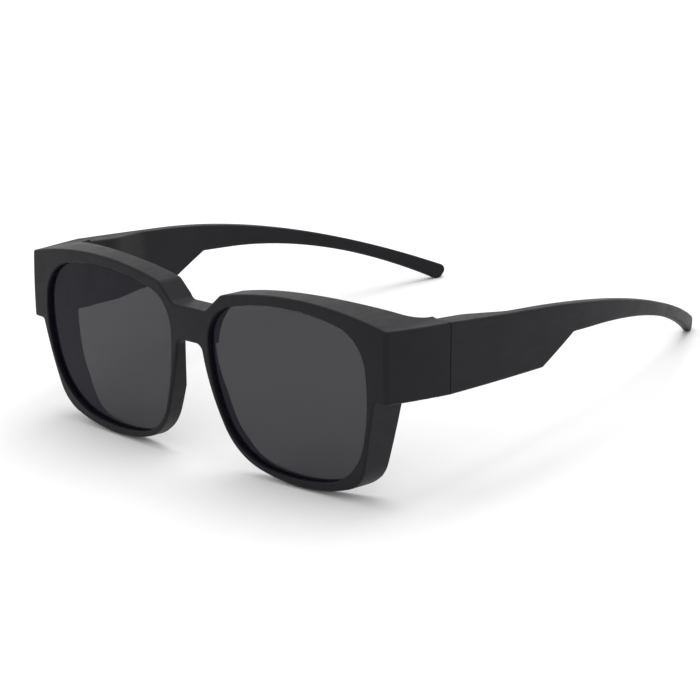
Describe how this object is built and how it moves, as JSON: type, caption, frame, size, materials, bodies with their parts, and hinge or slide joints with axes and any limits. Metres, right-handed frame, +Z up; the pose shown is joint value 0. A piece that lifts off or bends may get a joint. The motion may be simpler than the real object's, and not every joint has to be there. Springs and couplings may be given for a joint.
{
  "type": "fitover sunglasses",
  "caption": "Dark fit-over sunglasses with deep hooded sides, wide smoke lenses and curved folding temples on metal hinges.",
  "frame": {"origin": "centre of the bounding box's bottom, on the surface that the open glasses stand on with their rims and temple tips", "axes": "+X to the wearer's left, +Y from the front face back along the temples, +Z up; X is the mirror axis of the two halves"},
  "size_m": [0.1506, 0.1536, 0.0527],
  "materials": {
    "black_plastic": "satin moulded black",
    "smoke_lens": "polished smoke grey, see-through",
    "hinge_steel": "thin black nickel over steel"
  },
  "bodies": {
    "front": {"front_frame": "black_plastic", "lens_left": "smoke_lens", "hinge_front_leaf_left": "hinge_steel", "hinge_screw_left": "hinge_steel", "front_leaf_screws_left": "hinge_steel", "lens_right": "smoke_lens", "hinge_front_leaf_right": "hinge_steel", "hinge_screw_right": "hinge_steel", "front_leaf_screws_right": "hinge_steel"},
    "left_temple": {"temple_left": "black_plastic", "hinge_temple_leaf_left": "hinge_steel", "temple_leaf_screws_left": "hinge_steel"},
    "right_temple": {"temple_right": "black_plastic", "hinge_temple_leaf_right": "hinge_steel", "temple_leaf_screws_right": "hinge_steel"}
  },
  "joints": [
    {"name": "left_temple_fold", "type": "hinge", "parent": "front", "child": "left_temple", "pos_m": [0.0663, -0.0525, 0.03609], "axis": [0, 0.1354, 0.9908], "range_deg": [0, 86]},
    {"name": "right_temple_fold", "type": "hinge", "parent": "front", "child": "right_temple", "pos_m": [-0.0663, -0.0525, 0.03609], "axis": [0, -0.1354, -0.9908], "range_deg": [0, 79]}
  ]
}
